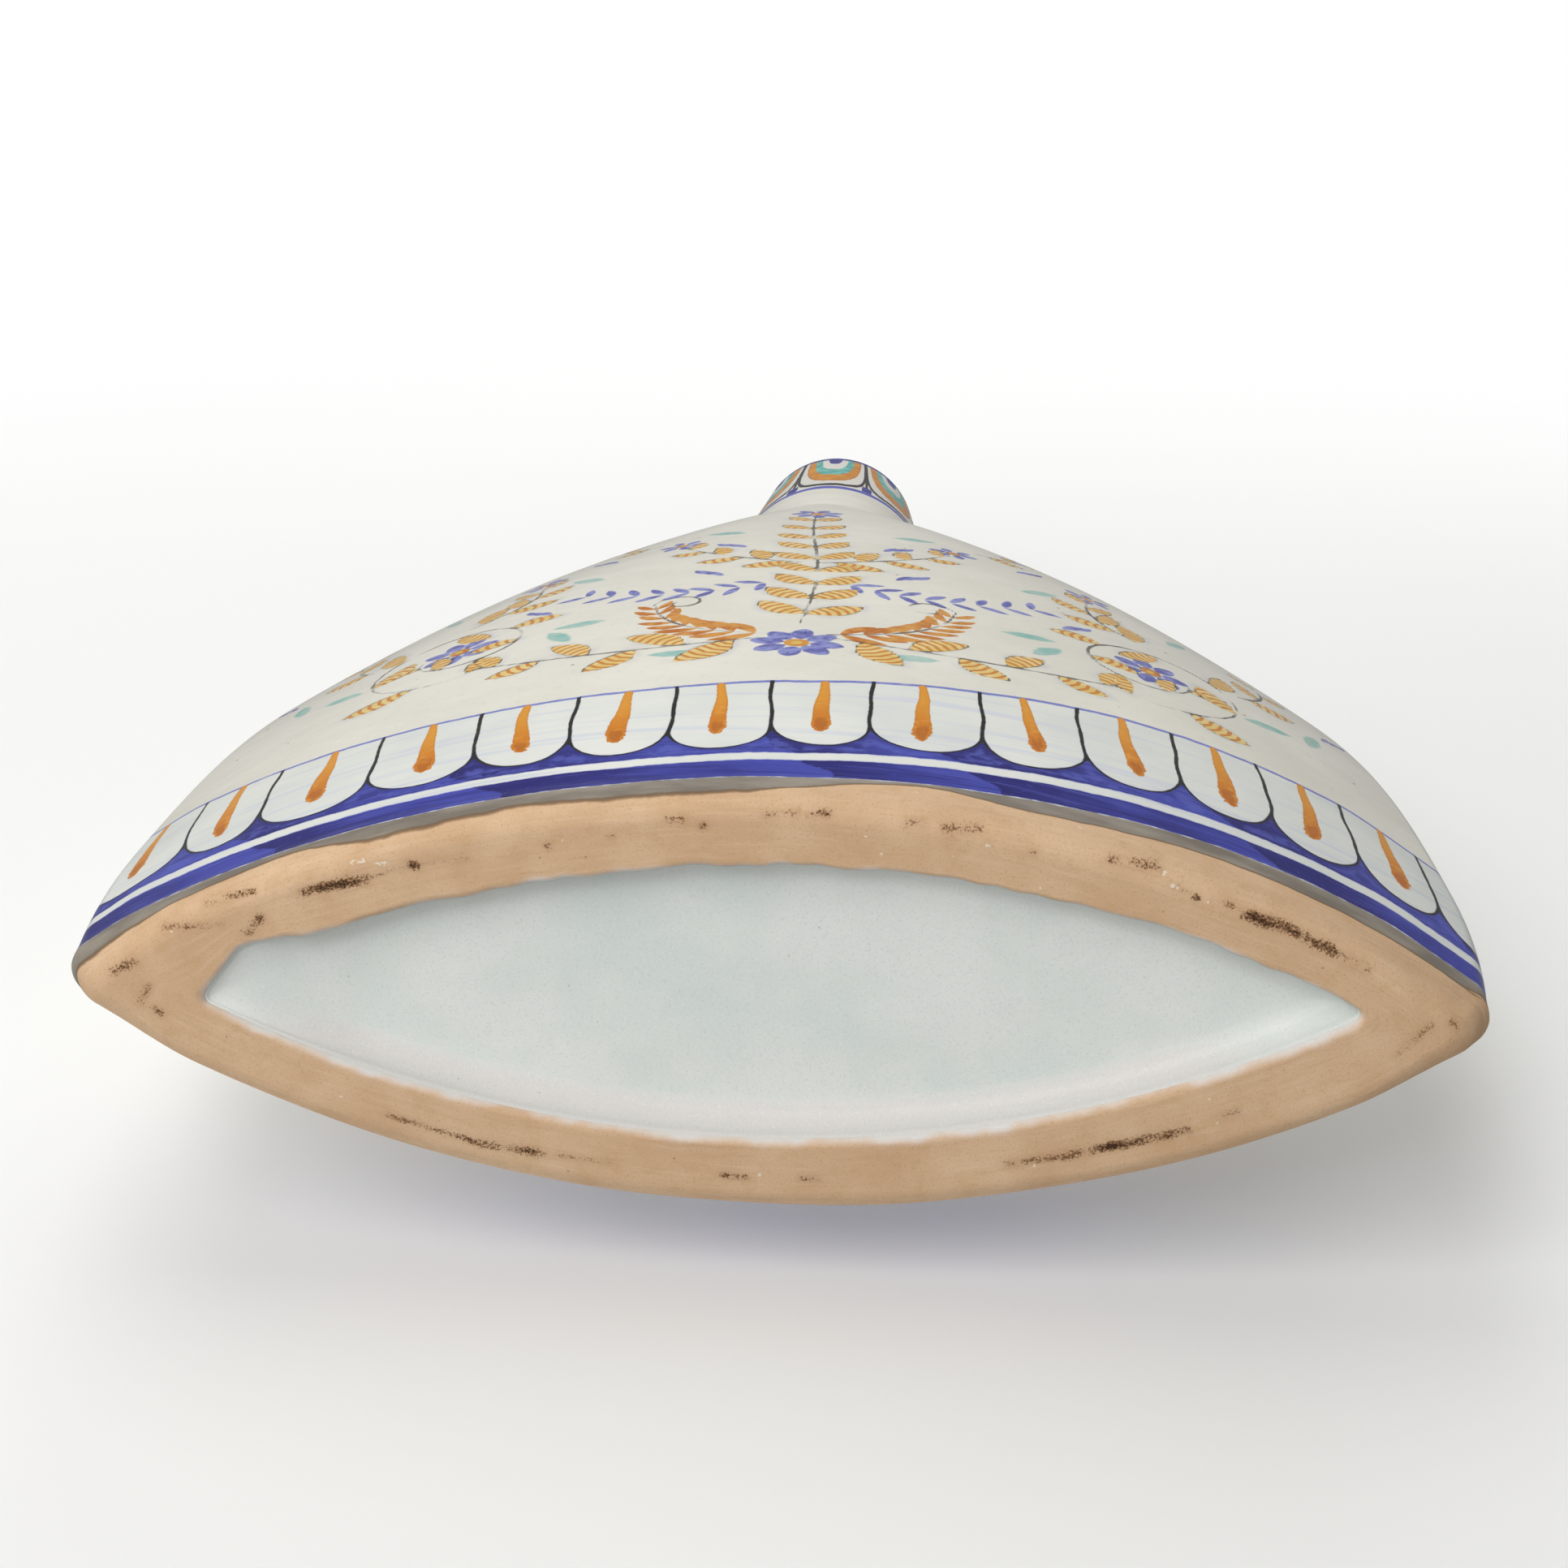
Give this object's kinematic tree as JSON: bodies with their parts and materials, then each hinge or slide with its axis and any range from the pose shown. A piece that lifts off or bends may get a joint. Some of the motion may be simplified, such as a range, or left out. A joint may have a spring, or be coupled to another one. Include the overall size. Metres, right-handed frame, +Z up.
{
  "type": "majolica vase",
  "caption": "Flattened flask vase of tin-glazed earthenware: pointed-oval foot ring with a glazed recess, painted lens-shaped walls and a tapering round neck with an open mouth.",
  "frame": {"origin": "centre of the foot, on the surface that the vase stands on", "axes": "+X along the foot to the right of the painted front, +Y from the front to the back, +Z up"},
  "size_m": [0.316, 0.097, 0.41],
  "materials": {
    "bare_clay": "matte",
    "slip": "matte",
    "painted_glaze": "gloss",
    "base_glaze": "gloss"
  },
  "bodies": {
    "root": {"front_wall": "bare_clay", "back_wall": "bare_clay", "left_seam": "slip", "right_seam": "slip", "foot_ring": "bare_clay", "foot_seam": "slip", "base_floor": "bare_clay", "base_glaze": "base_glaze", "neck_seam": "slip", "neck_collar": "bare_clay", "front_glaze": "painted_glaze", "back_glaze": "painted_glaze", "neck_glaze": "painted_glaze"}
  },
  "joints": []
}
